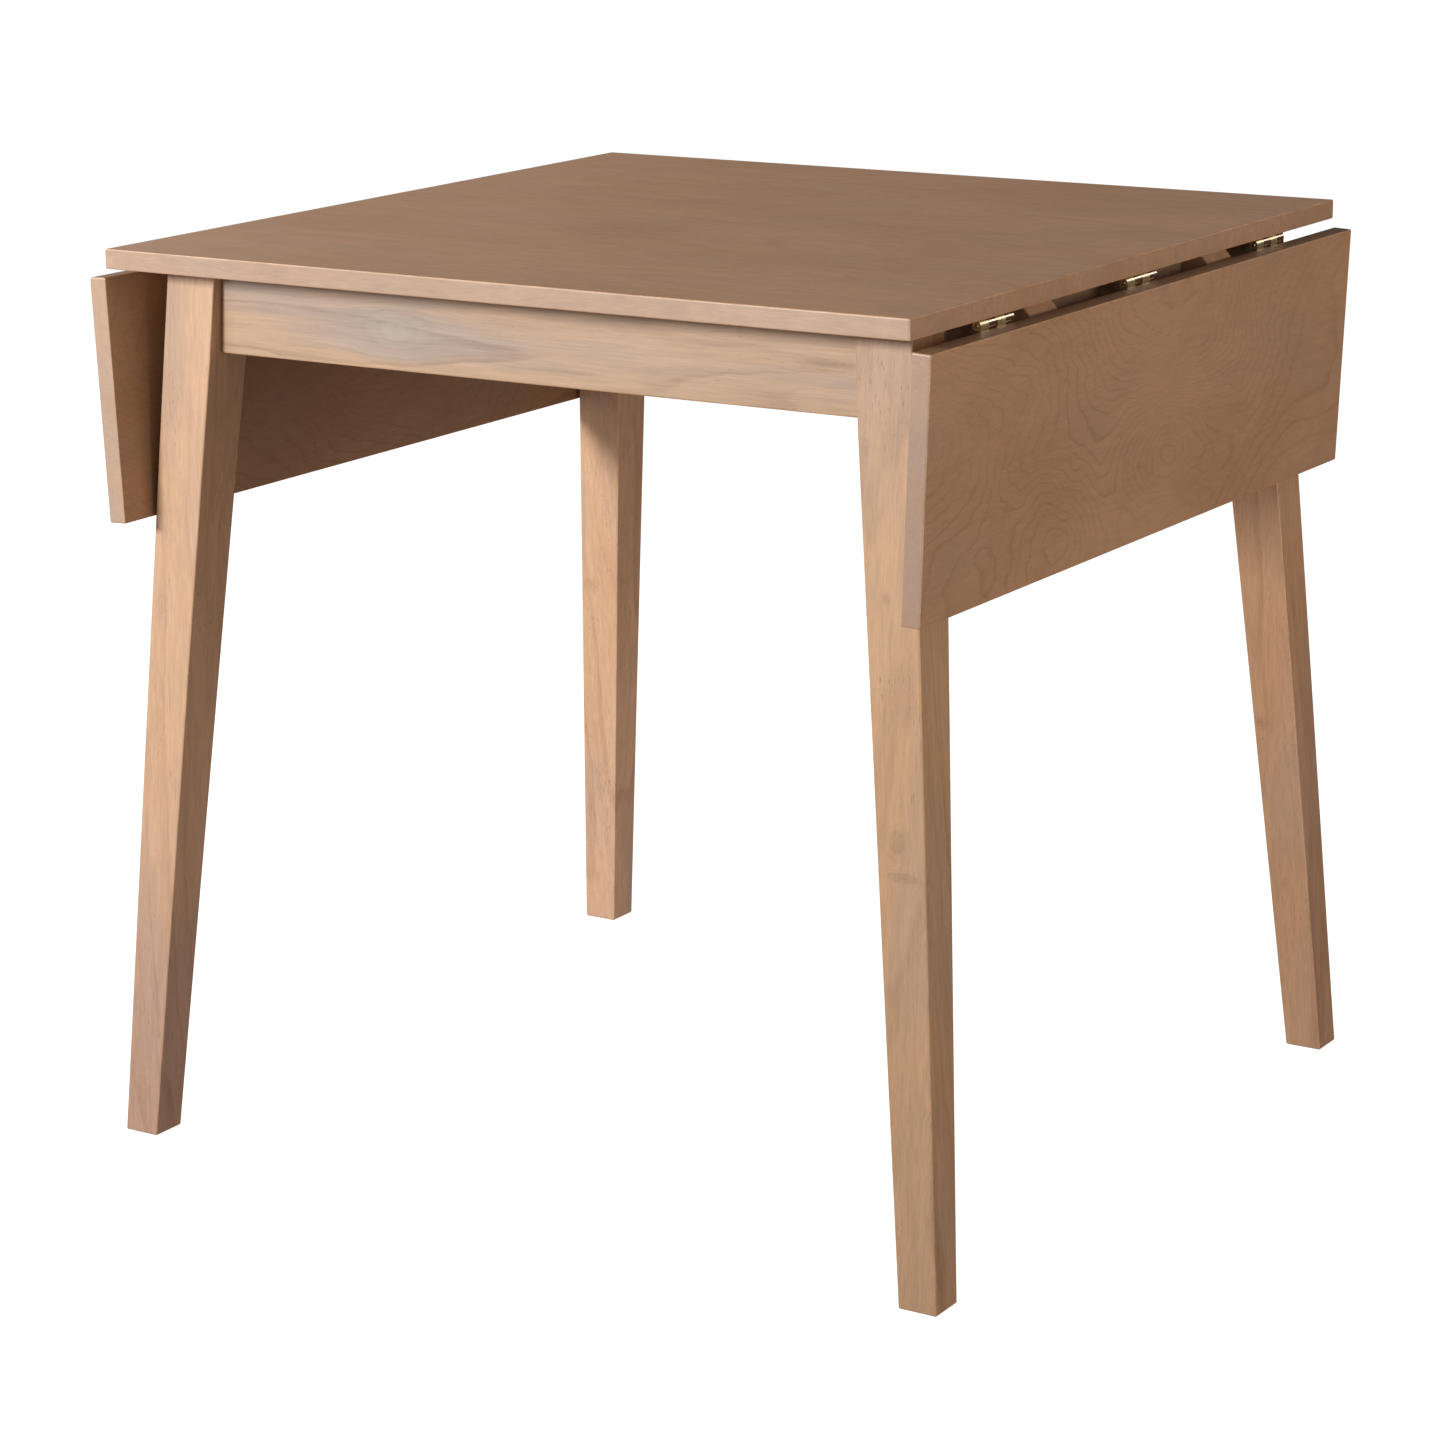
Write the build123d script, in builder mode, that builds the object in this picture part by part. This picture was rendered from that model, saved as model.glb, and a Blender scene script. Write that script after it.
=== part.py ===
from build123d import *
import os
from math import sin, cos, radians, sqrt

# Drop-leaf table: four splayed, tapered legs, an apron frame, a centre top and
# two leaves that hang at the sides on brass hinges, held up in use by sliding
# support bars.  Frame: origin on the floor under the middle of the top, +Z up,
# +X towards the right leaf, -Y towards the front apron.  Stored with both
# leaves hanging and the bars pushed in.  All lengths are in millimetres.

os.makedirs("parts", exist_ok=True)

# ---------------------------------------------------------------- dimensions
table_height = 750.0        # floor to top surface
board_t = 16.0              # thickness of the top and of the leaves
top_x = 738.0               # centre top, hinge edge to hinge edge
top_y = 728.0               # centre top, front to back
z_under = table_height - board_t

leaf_w = 200.0              # leaf, hinge edge to free edge
leaf_y = 728.0
joint_gap = 1.0             # between top and raised leaf
leaf_drop = 92.5            # swing from raised to hanging, degrees

corner_r = 1.6              # corners of the boards, seen from above
arris_r = 1.2               # upper arris of the boards
under_r = 1.0               # lower arris of the boards

# legs: plan section at the top, at the knee of the inner taper, at the floor
leg_out_x_top, leg_out_x_foot = 344.0, 393.0
leg_out_y_top, leg_out_y_foot = 317.0, 364.0
leg_sec = 48.0              # square section above the knee
knee_z = 660.0
foot_sec_x, foot_sec_y = 33.0, 32.5
leg_r = 1.6                 # rounded long arrises
foot_ch = 1.0

apron_bottom = 663.5
apron_t = 18.0
apron_front_face = 308.0    # outer face of front and back aprons, |y|
apron_side_face = 340.0     # outer face of side aprons, |x|
tenon_t, tenon_z0, tenon_z1, tenon_len = 8.0, 676.0, 721.0, 15.0
shoulder_r = 1.2            # eased edge of the front and back aprons beside the legs
fit = 0.1                   # clearance of glued joints, each side

# support bars and what guides them
bar_y, bar_w, bar_h = 152.0, 44.0, 22.0
bar_out, bar_in = 364.0, 22.0       # |x| of outer and inner ends
bar_bevel = 8.0
bar_top = z_under - 0.3
bar_fit = 0.4                       # slide clearance, each side
rail_x0, rail_x1, rail_bottom = 226.0, 250.0, 684.0
batten_w, batten_bottom, batten_y = 40.0, 708.0, 500.0
stop_x, stop_r, stop_below = 80.0, 4.0, 14.0

# corner blocks, hanger bolts
flat_sum = 578.0            # leg flat and block face on the line |x|+|y| = this
block_in_sum = 544.0
block_z0, block_z1 = 673.0, 727.0
bolt_z, bolt_r, bolt_in_leg = 700.0, 4.0, 30.0
washer_r, washer_t, nut_af, nut_h, bolt_tip = 10.0, 1.6, 13.0, 6.5, 4.0

# hinges
hinge_ys = {"front": -236.0, "middle": 0.0, "back": 236.0}
hinge_len = 52.0
knuckle_r, pin_r, run_clear = 3.5, 1.6, 0.05
knuckle_gap = 0.3
plate_t, plate_w = 1.8, 20.0
pivot_x = top_x / 2 - 2.5   # pin axis, |x|
pivot_z = z_under - 3.8     # pin axis, height

# screws
hs_r, hs_head_r, hs_len = 1.5, 3.2, 13.0        # hinge screws, countersunk
hs_spots = [(-18.0, 11.0), (0.0, 15.5), (18.0, 11.0)]   # along pin, from axis
rs_r, rs_head_r, rs_head_h, rs_len = 2.0, 4.0, 2.6, 32.0   # rail screws
cs_len = 26.0                                             # corner-block screws
bs_r, bs_head_r, bs_head_h, bs_len = 1.75, 3.4, 2.0, 12.0  # bracket screws
bracket_w, bracket_leg, bracket_t = 30.0, 22.0, 2.0
hole_clear = 0.05

SIDES = {"left": -1, "right": 1}
ENDS = {"front": -1, "back": 1}
A_MIN = (Align.CENTER, Align.CENTER, Align.MIN)
A_MAX = (Align.CENTER, Align.CENTER, Align.MAX)


def leg_out_x(z):
    """|x| of a leg's outer face."""
    return leg_out_x_top + (z_under - z) * (leg_out_x_foot - leg_out_x_top) / z_under


def leg_out_y(z):
    """|y| of a leg's outer face."""
    return leg_out_y_top + (z_under - z) * (leg_out_y_foot - leg_out_y_top) / z_under


def leg_in_x(z):
    """|x| of a leg's inner face above the knee."""
    return leg_out_x(z) - leg_sec


def leg_in_y(z):
    """|y| of a leg's inner face above the knee."""
    return leg_out_y(z) - leg_sec


def leaf_plane(s, y=0.0):
    """Plane on the pin axis, x along the hanging leaf, y towards its outer face."""
    a = radians(leaf_drop)
    return Plane(origin=(s * pivot_x, y, pivot_z), x_dir=(s * cos(a), 0, -sin(a)), z_dir=(0, -s, 0))


def fixed_plane(s, y=0.0):
    """Plane on the pin axis, x inwards under the top, y upwards."""
    return Plane(origin=(s * pivot_x, y, pivot_z), x_dir=(-s, 0, 0), z_dir=(0, s, 0))


def finish(builder, label):
    builder.part.label = label
    export_step(builder.part, f"parts/{label}.step")
    return builder


def bolt_point():
    """Middle of a leg's flat at bolt height, as |x|, |y|."""
    xi, yi = leg_in_x(bolt_z), leg_in_y(bolt_z)
    return (xi + flat_sum - yi) / 2, (yi + flat_sum - xi) / 2


# ------------------------------------------------- fastener and fixing places
# rail screws: point on the underside of the top, and the underside of what they hold
rail_screw_spots = []
for s in (-1, 1):
    for y in (-215.0, 0.0, 215.0):
        rail_screw_spots.append((s * (rail_x0 + rail_x1) / 2, y))
for y in (-200.0, 0.0, 200.0):
    rail_screw_spots.append((0.0, y))

# top brackets: (position on the apron's inner face, inward normal)
bracket_spots = []
for e in (-1, 1):
    for x in (-120.0, 120.0):
        bracket_spots.append(((x, e * (apron_front_face - apron_t)), (0, -e)))
for s in (-1, 1):
    for y in (-70.0, 70.0):
        bracket_spots.append(((s * (apron_side_face - apron_t), y), (-s, 0)))


def bracket_top_screw(spot):
    (x, y), (nx, ny) = spot
    return (x + nx * 13.0, y + ny * 13.0)


# ------------------------------------------------------------------ table top
with BuildPart() as table_top:
    with BuildSketch(Plane.XY.offset(z_under)):
        Rectangle(top_x, top_y)
    extrude(amount=board_t)
    fillet(table_top.edges().filter_by(Axis.Z), corner_r)
    fillet(table_top.faces().sort_by(Axis.Z)[-1].edges(), arris_r)
    fillet(table_top.faces().sort_by(Axis.Z)[0].edges(), under_r)
    # screw holes in the underside
    for s in (-1, 1):
        for yc in hinge_ys.values():
            for dy, d in hs_spots:
                with Locations((s * (pivot_x - d), yc + dy, z_under)):
                    Cylinder(hs_r + hole_clear, hs_len - plate_t, align=A_MIN, mode=Mode.SUBTRACT)
    for x, y in rail_screw_spots:
        with Locations((x, y, z_under)):
            Cylinder(rs_r + hole_clear, 12.0, align=A_MIN, mode=Mode.SUBTRACT)
    for spot in bracket_spots:
        x, y = bracket_top_screw(spot)
        with Locations((x, y, z_under)):
            Cylinder(bs_r + hole_clear, bs_len - bracket_t, align=A_MIN, mode=Mode.SUBTRACT)
finish(table_top, "table_top")

# --------------------------------------------------------------------- leaves
for side, s in SIDES.items():
    with BuildPart() as leaf:
        with BuildSketch(leaf_plane(s)):
            with Locations((top_x / 2 + joint_gap - pivot_x + leaf_w / 2, z_under - pivot_z + board_t / 2)):
                Rectangle(leaf_w, board_t)
        extrude(amount=leaf_y / 2, both=True)
        # the two broad faces: outer (uppermost in use) and inner
        wide = leaf.faces().sort_by(SortBy.AREA)[-2:].sort_by(Axis.X)
        outer, inner = (wide[-1], wide[0]) if s > 0 else (wide[0], wide[-1])
        short = [e for e in leaf.edges() if abs(e.length - board_t) < 0.01]
        fillet(short, corner_r)
        wide = leaf.faces().sort_by(SortBy.AREA)[-2:].sort_by(Axis.X)
        outer = wide[-1] if s > 0 else wide[0]
        fillet(outer.edges(), arris_r)
        wide = leaf.faces().sort_by(SortBy.AREA)[-2:].sort_by(Axis.X)
        inner = wide[0] if s > 0 else wide[-1]
        fillet(inner.edges(), under_r)
        for yc in hinge_ys.values():
            for dy, d in hs_spots:
                p = leaf_plane(s, yc + dy)
                o = p.origin + p.x_dir * d + p.y_dir * (z_under - pivot_z)
                with Locations(Plane(origin=o, x_dir=p.x_dir, z_dir=p.y_dir)):
                    Cylinder(hs_r + hole_clear, hs_len - plate_t, align=A_MIN, mode=Mode.SUBTRACT)
    finish(leaf, f"leaf_{side}")

# ----------------------------------------------------------------------- legs
for end, e in ENDS.items():
    for side, s in SIDES.items():
        with BuildPart() as leg:
            # plan sections: foot, knee of the inner taper, top
            for z in (0.0, knee_z, z_under):
                xo, yo = leg_out_x(z), leg_out_y(z)
                wx = foot_sec_x if z == 0 else leg_sec
                wy = foot_sec_y if z == 0 else leg_sec
                with BuildSketch(Plane.XY.offset(z)):
                    with Locations((s * (xo - wx / 2), e * (yo - wy / 2))):
                        RectangleRounded(wx, wy, leg_r)
            loft(ruled=True)
            chamfer(leg.faces().sort_by(Axis.Z)[0].edges(), foot_ch)
            # flat across the inner corner, where the corner block bears
            with BuildSketch(Plane.XY.offset(664.5)):
                with BuildLine():
                    Polyline(
                        (s * (flat_sum / 2 + 60), e * (flat_sum / 2 - 60)),
                        (s * (flat_sum / 2 - 60), e * (flat_sum / 2 + 60)),
                        (s * (flat_sum / 2 - 60), e * (flat_sum / 2 - 60)), close=True)
                make_face()
            extrude(amount=z_under - 664.5 + 1, mode=Mode.SUBTRACT)
            # mortises for the apron tenons
            zc, zh = (tenon_z0 + tenon_z1) / 2, tenon_z1 - tenon_z0 + 2 * fit
            x0, x1 = leg_in_x(z_under) - 10, leg_in_x(bolt_z) + tenon_len + fit
            with Locations((s * (x0 + x1) / 2, e * (apron_front_face - apron_t / 2), zc)):
                Box(x1 - x0, tenon_t + 2 * fit, zh, mode=Mode.SUBTRACT)
            y0, y1 = leg_in_y(z_under) - 10, leg_in_y(bolt_z) + tenon_len + fit
            with Locations((s * (apron_side_face - apron_t / 2), e * (y0 + y1) / 2, zc)):
                Box(tenon_t + 2 * fit, y1 - y0, zh, mode=Mode.SUBTRACT)
            # hanger-bolt hole
            bx, by = bolt_point()
            with Locations(Plane(origin=(s * bx, e * by, bolt_z), x_dir=(0, 0, 1), z_dir=(s, e, 0))):
                Cylinder(bolt_r + hole_clear, 2 * bolt_in_leg, mode=Mode.SUBTRACT)
        finish(leg, f"leg_{end}_{side}")

# ------------------------------------------------- front and back aprons
apron_zc = (apron_bottom + z_under) / 2
for end, e in ENDS.items():
    with BuildPart() as apron:
        with BuildSketch(Plane.XZ.offset(-e * (apron_front_face - apron_t))):
            with BuildLine():
                Polyline(
                    (-leg_in_x(apron_bottom), apron_bottom), (leg_in_x(apron_bottom), apron_bottom),
                    (leg_in_x(z_under), z_under), (-leg_in_x(z_under), z_under), close=True)
            make_face()
        extrude(amount=-e * apron_t)
        # eased shoulders on the outer face leave a fine groove beside each leg
        outer = apron.faces().sort_by(Axis.Y)[0 if e < 0 else -1]
        fillet([ed for ed in outer.edges() if ed.length < 100], shoulder_r)
        fillet(apron.edges().filter_by(Axis.X).group_by(Axis.Z)[0], 1.5)
        with Locations((0, e * (apron_front_face - apron_t / 2), (tenon_z0 + tenon_z1) / 2)):
            Box(2 * (leg_in_x(bolt_z) + tenon_len), tenon_t, tenon_z1 - tenon_z0)
        for s in (-1, 1):       # corner-block screws
            with Locations(Plane(origin=(s * 270, e * (apron_front_face - apron_t), bolt_z), x_dir=(1, 0, 0), z_dir=(0, e, 0))):
                Cylinder(rs_r + hole_clear, 15.0, align=A_MIN, mode=Mode.SUBTRACT)
        for (x, y), (nx, ny) in bracket_spots:
            if ny == -e:
                with Locations(Plane(origin=(x, y, z_under - 13), x_dir=(1, 0, 0), z_dir=(0, e, 0))):
                    Cylinder(bs_r + hole_clear, bs_len - bracket_t, align=A_MIN, mode=Mode.SUBTRACT)
    finish(apron, f"apron_{end}")

# ------------------------------------------------------------- side aprons
notch_bottom = bar_top - bar_h - 0.3
for side, s in SIDES.items():
    with BuildPart() as apron:
        with BuildSketch(Plane.YZ.offset(s * (apron_side_face - apron_t))):
            with BuildLine():
                Polyline(
                    (-leg_in_y(apron_bottom), apron_bottom), (leg_in_y(apron_bottom), apron_bottom),
                    (leg_in_y(z_under), z_under), (-leg_in_y(z_under), z_under), close=True)
            make_face()
        extrude(amount=s * apron_t)
        fillet(apron.edges().filter_by(Axis.Y).group_by(Axis.Z)[0], 1.5)
        with Locations((s * (apron_side_face - apron_t / 2), 0, (tenon_z0 + tenon_z1) / 2)):
            Box(tenon_t, 2 * (leg_in_y(bolt_z) + tenon_len), tenon_z1 - tenon_z0)
        # notches that the support bars slide through
        with Locations(*[(s * (apron_side_face - apron_t / 2), y, notch_bottom) for y in (-bar_y, bar_y)]):
            Box(apron_t + 2, bar_w + 2 * bar_fit, 40, align=A_MIN, mode=Mode.SUBTRACT)
        for e in (-1, 1):       # corner-block screws
            with Locations(Plane(origin=(s * (apron_side_face - apron_t), e * 238, bolt_z), x_dir=(0, 1, 0), z_dir=(s, 0, 0))):
                Cylinder(rs_r + hole_clear, 15.0, align=A_MIN, mode=Mode.SUBTRACT)
        for (x, y), (nx, ny) in bracket_spots:
            if nx == -s:
                with Locations(Plane(origin=(x, y, z_under - 13), x_dir=(0, 1, 0), z_dir=(s, 0, 0))):
                    Cylinder(bs_r + hole_clear, bs_len - bracket_t, align=A_MIN, mode=Mode.SUBTRACT)
    finish(apron, f"apron_{side}")

# -------------------------------------------------------------- corner blocks
ay, ax = apron_front_face - apron_t, apron_side_face - apron_t
for end, e in ENDS.items():
    for side, s in SIDES.items():
        with BuildPart() as block:
            with BuildSketch(Plane.XY.offset(block_z0)):
                with BuildLine():
                    Polyline(
                        (s * (flat_sum - ay), e * ay), (s * ax, e * (flat_sum - ax)),
                        (s * ax, e * (block_in_sum - ax)), (s * (block_in_sum - ay), e * ay), close=True)
                make_face()
            extrude(amount=block_z1 - block_z0)
            bx, by = bolt_point()
            with Locations(Plane(origin=(s * bx, e * by, bolt_z), x_dir=(0, 0, 1), z_dir=(s, e, 0))):
                Cylinder(bolt_r + 0.3, 100, mode=Mode.SUBTRACT)
            # screw holes, sunk so that the heads sit square to the aprons
            with Locations(Plane(origin=(s * 270, e * 278, bolt_z), x_dir=(1, 0, 0), z_dir=(0, e, 0))):
                Cylinder(rs_r + hole_clear, 20, align=A_MIN, mode=Mode.SUBTRACT)
                Cylinder(rs_head_r + 0.5, 20, align=A_MAX, mode=Mode.SUBTRACT)
            with Locations(Plane(origin=(s * 310, e * 238, bolt_z), x_dir=(0, 1, 0), z_dir=(s, 0, 0))):
                Cylinder(rs_r + hole_clear, 20, align=A_MIN, mode=Mode.SUBTRACT)
                Cylinder(rs_head_r + 0.5, 20, align=A_MAX, mode=Mode.SUBTRACT)
        finish(block, f"corner_block_{end}_{side}")

# ---------------------------------------------- guide rails and centre batten
for side, s in SIDES.items():
    with BuildPart() as rail:
        with BuildSketch(Plane.XY.offset(rail_bottom)):
            with Locations((s * (rail_x0 + rail_x1) / 2, 0)):
                Rectangle(rail_x1 - rail_x0, 2 * ay)
        extrude(amount=z_under - rail_bottom)
        chamfer(rail.edges().filter_by(Axis.Y).group_by(Axis.Z)[0], 1.0)
        with Locations(*[(s * (rail_x0 + rail_x1) / 2, y, notch_bottom) for y in (-bar_y, bar_y)]):
            Box(rail_x1 - rail_x0 + 2, bar_w + 2 * bar_fit, 40, align=A_MIN, mode=Mode.SUBTRACT)
        for x, y in rail_screw_spots:
            if x * s > 100:
                with Locations((x, y, z_under - 20)):
                    Cylinder(rs_r + hole_clear, 30, align=A_MIN, mode=Mode.SUBTRACT)
                    Cylinder(rs_head_r + 0.5, 40, align=A_MAX, mode=Mode.SUBTRACT)
    finish(rail, f"guide_rail_{side}")

with BuildPart() as batten:
    with BuildSketch(Plane.XY.offset(batten_bottom)):
        Rectangle(batten_w, batten_y)
    extrude(amount=z_under - batten_bottom)
    chamfer(batten.faces().sort_by(Axis.Z)[0].edges(), 1.0)
    for x, y in rail_screw_spots:
        if abs(x) < 1:
            with Locations((x, y, z_under - 20)):
                Cylinder(rs_r + hole_clear, 30, align=A_MIN, mode=Mode.SUBTRACT)
                Cylinder(rs_head_r + 0.5, 20, align=A_MAX, mode=Mode.SUBTRACT)
finish(batten, "centre_batten")

# --------------------------------------------------- support bars, stop dowels
for end, e in ENDS.items():
    for side, s in SIDES.items():
        with BuildPart() as bar:
            with BuildSketch(Plane.XZ.offset(-(e * bar_y + bar_w / 2))):
                with BuildLine():
                    Polyline(
                        (s * bar_in, bar_top - bar_h), (s * bar_out, bar_top - bar_h),
                        (s * bar_out, bar_top - bar_bevel), (s * (bar_out - bar_bevel), bar_top),
                        (s * bar_in, bar_top), close=True)
                make_face()
            extrude(amount=bar_w)
            ends = [g for g in bar.edges()
                    if abs((g @ 0.5).X * s) > bar_out - bar_bevel - 0.1
                    and abs((g @ 1 - g @ 0).Y) < 0.1 and abs((g @ 1 - g @ 0).Z) > 1]
            fillet(ends, 2.0)
            with Locations((s * stop_x, e * bar_y, bar_top - bar_h - 1)):
                Cylinder(stop_r, bar_h + 2, align=A_MIN, mode=Mode.SUBTRACT)
        finish(bar, f"support_bar_{end}_{side}")

        with BuildPart() as dowel:
            with Locations((s * stop_x, e * bar_y, bar_top - bar_h - stop_below)):
                Cylinder(stop_r, bar_h + stop_below - 0.5, align=A_MIN)
            chamfer(dowel.faces().sort_by(Axis.Z)[0].edges(), 1.0)
        finish(dowel, f"bar_stop_{end}_{side}")

# --------------------------------------------------------------------- hinges
# Four equal knuckles, front to back: the leaf plate carries the first and the
# third, the top plate the second and the fourth.  The pin is tight in the top
# plate and runs in the leaf plate.
pitch = hinge_len / 4
leaf_knuckles = [-1.5 * pitch, 0.5 * pitch]
top_knuckles = [-0.5 * pitch, 1.5 * pitch]
y_hi = z_under - pivot_z            # plate face against the wood
y_lo = y_hi - plate_t
for side, s in SIDES.items():
    for place, yc in hinge_ys.items():
        with BuildPart() as plate:
            with BuildSketch(fixed_plane(s, yc)):
                with Locations(((4.2 + plate_w) / 2, (y_lo + y_hi) / 2)):
                    Rectangle(plate_w - 4.2, plate_t)
            extrude(amount=hinge_len / 2, both=True)
            far = [g for g in plate.edges() if abs(g.length - plate_t) < 0.01 and (g @ 0.5).X * s < pivot_x - plate_w + 1]
            fillet(far, 2.0)
            for k in top_knuckles:
                with BuildSketch(fixed_plane(s, yc + k)):
                    Circle(knuckle_r)
                    with Locations((2.3, (y_lo + knuckle_r) / 2)):
                        Rectangle(4.6, knuckle_r - y_lo)
                    Circle(pin_r, mode=Mode.SUBTRACT)
                extrude(amount=(pitch - knuckle_gap) / 2, both=True)
            for dy, d in hs_spots:
                with Locations(Plane(origin=(s * (pivot_x - d), yc + dy, z_under - plate_t), x_dir=(1, 0, 0), z_dir=(0, 0, -1))):
                    CounterSinkHole(hs_r + hole_clear, hs_head_r + hole_clear, depth=5)
        finish(plate, f"hinge_top_plate_{side}_{place}")

        with BuildPart() as plate:
            with BuildSketch(leaf_plane(s, yc)):
                with Locations(((4.2 + plate_w) / 2, (y_lo + y_hi) / 2)):
                    Rectangle(plate_w - 4.2, plate_t)
            extrude(amount=hinge_len / 2, both=True)
            far = [g for g in plate.edges() if abs(g.length - plate_t) < 0.01 and (g @ 0.5).Z < pivot_z - plate_w + 1]
            fillet(far, 2.0)
            for k in leaf_knuckles:
                with BuildSketch(leaf_plane(s, yc + k)):
                    Circle(knuckle_r)
                    with Locations((2.3, (y_lo + knuckle_r) / 2)):
                        Rectangle(4.6, knuckle_r - y_lo)
                    Circle(pin_r + run_clear, mode=Mode.SUBTRACT)
                extrude(amount=(pitch - knuckle_gap) / 2, both=True)
            for dy, d in hs_spots:
                p = leaf_plane(s, yc + dy)
                o = p.origin + p.x_dir * d + p.y_dir * y_lo
                with Locations(Plane(origin=o, x_dir=p.x_dir, z_dir=-p.y_dir)):
                    CounterSinkHole(hs_r + hole_clear, hs_head_r + hole_clear, depth=5)
        finish(plate, f"hinge_leaf_plate_{side}_{place}")

        with BuildPart() as pin:
            with BuildSketch(Plane.XZ.offset(-(yc + hinge_len / 2))):
                with Locations((s * pivot_x, pivot_z)):
                    Circle(pin_r)
            extrude(amount=hinge_len + 1.2)
            fillet(pin.faces().sort_by(Axis.Y)[0].edges(), 0.8)
        finish(pin, f"hinge_pin_{side}_{place}")


# --------------------------------------------------------------------- screws
def wood_screw(p, shank_r, head_r, length, head_h=None):
    """A screw at plane p: p.z points into the wood, p's origin is the top of the head.
    Without head_h the head is countersunk; with it, the head is a flat cylinder."""
    with Locations(p):
        if head_h is None:
            Cone(head_r, shank_r, head_r - shank_r, align=A_MIN)
            Cylinder(shank_r, length, align=A_MIN)
            Box(0.8, 2 * head_r, 0.9, align=A_MIN, mode=Mode.SUBTRACT)
        else:
            Cylinder(head_r, head_h, align=A_MIN)
            Cylinder(shank_r, head_h + length, align=A_MIN)
            Box(0.9, 2 * head_r, 1.0, align=A_MIN, mode=Mode.SUBTRACT)


with BuildPart() as screws:
    for s in (-1, 1):
        for yc in hinge_ys.values():
            for dy, d in hs_spots:
                wood_screw(Plane(origin=(s * (pivot_x - d), yc + dy, z_under - plate_t), x_dir=(1, 0, 0), z_dir=(0, 0, 1)),
                           hs_r, hs_head_r, hs_len - 1)
finish(screws, "hinge_screws_top")

for side, s in SIDES.items():
    with BuildPart() as screws:
        for yc in hinge_ys.values():
            for dy, d in hs_spots:
                p = leaf_plane(s, yc + dy)
                wood_screw(Plane(origin=p.origin + p.x_dir * d + p.y_dir * y_lo, x_dir=p.x_dir, z_dir=p.y_dir),
                           hs_r, hs_head_r, hs_len - 1)
    finish(screws, f"hinge_screws_leaf_{side}")

with BuildPart() as screws:
    for x, y in rail_screw_spots:
        wood_screw(Plane(origin=(x, y, z_under - 20 - rs_head_h), x_dir=(1, 0, 0), z_dir=(0, 0, 1)),
                   rs_r, rs_head_r, rs_len - 0.5, rs_head_h)
finish(screws, "rail_screws")

with BuildPart() as screws:
    for e in (-1, 1):
        for s in (-1, 1):
            wood_screw(Plane(origin=(s * 270, e * (278 - rs_head_h), bolt_z), x_dir=(1, 0, 0), z_dir=(0, e, 0)),
                       rs_r, rs_head_r, cs_len, rs_head_h)
            wood_screw(Plane(origin=(s * (310 - rs_head_h), e * 238, bolt_z), x_dir=(0, 1, 0), z_dir=(s, 0, 0)),
                       rs_r, rs_head_r, cs_len, rs_head_h)
finish(screws, "corner_block_screws")

# -------------------------------------------- hanger bolts, washers, hex nuts
bx, by = bolt_point()
block_t = (flat_sum - block_in_sum) / sqrt(2)
q = 1 / sqrt(2)


def on_bolt(s, e, d):
    """Plane across a bolt's axis, d outwards from the leg's flat, z outwards."""
    return Plane(origin=(s * (bx + d * q), e * (by + d * q), bolt_z), x_dir=(0, 0, 1), z_dir=(s, e, 0))


corners = [(s, e) for s in (-1, 1) for e in (-1, 1)]
with BuildPart() as bolts:
    for s, e in corners:
        length = bolt_in_leg + block_t + washer_t + nut_h + bolt_tip
        with Locations(on_bolt(s, e, bolt_in_leg)):
            Cylinder(bolt_r, length - 0.5, align=A_MAX)
    chamfer(bolts.edges().filter_by(GeomType.CIRCLE), 0.8)
finish(bolts, "hanger_bolts")

with BuildPart() as washers:
    for s, e in corners:
        with BuildSketch(on_bolt(s, e, -block_t - washer_t)):
            Circle(washer_r)
            Circle(bolt_r + 0.2, mode=Mode.SUBTRACT)
        extrude(amount=washer_t)
finish(washers, "hanger_washers")

with BuildPart() as nuts:
    for s, e in corners:
        with BuildSketch(on_bolt(s, e, -block_t - washer_t - nut_h)):
            RegularPolygon(nut_af / 2, 6, major_radius=False)
            Circle(bolt_r + hole_clear, mode=Mode.SUBTRACT)
        extrude(amount=nut_h)
finish(nuts, "hanger_nuts")

# --------------------------------------------------------------- top brackets
with BuildPart() as brackets:
    for (x, y), (nx, ny) in bracket_spots:
        with BuildSketch(Plane(origin=(x, y, z_under), x_dir=(nx, ny, 0), z_dir=(ny, -nx, 0))):
            with BuildLine():
                Polyline(
                    (0, 0), (bracket_leg, 0), (bracket_leg, -bracket_t), (bracket_t, -bracket_t),
                    (bracket_t, -bracket_leg), (0, -bracket_leg), close=True)
            make_face()
        extrude(amount=bracket_w / 2, both=True)
        with Locations(Plane(origin=(x + nx * 13, y + ny * 13, z_under), x_dir=(nx, ny, 0), z_dir=(0, 0, 1))):
            Cylinder(bs_r + 0.3, 10, mode=Mode.SUBTRACT)
        with Locations(Plane(origin=(x, y, z_under - 13), x_dir=(0, 0, 1), z_dir=(nx, ny, 0))):
            Cylinder(bs_r + 0.3, 10, mode=Mode.SUBTRACT)
finish(brackets, "top_brackets")

with BuildPart() as screws:
    for (x, y), (nx, ny) in bracket_spots:
        wood_screw(Plane(origin=(x + nx * 13, y + ny * 13, z_under - bracket_t - bs_head_h), x_dir=(1, 0, 0), z_dir=(0, 0, 1)),
                   bs_r, bs_head_r, bs_len - 0.5, bs_head_h)
        t = bracket_t + bs_head_h
        wood_screw(Plane(origin=(x + nx * t, y + ny * t, z_under - 13), x_dir=(0, 0, 1), z_dir=(-nx, -ny, 0)),
                   bs_r, bs_head_r, bs_len - 0.5, bs_head_h)
finish(screws, "bracket_screws")
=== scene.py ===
from math import radians, sin, cos

import bpy
from mathutils import Matrix, Vector

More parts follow.
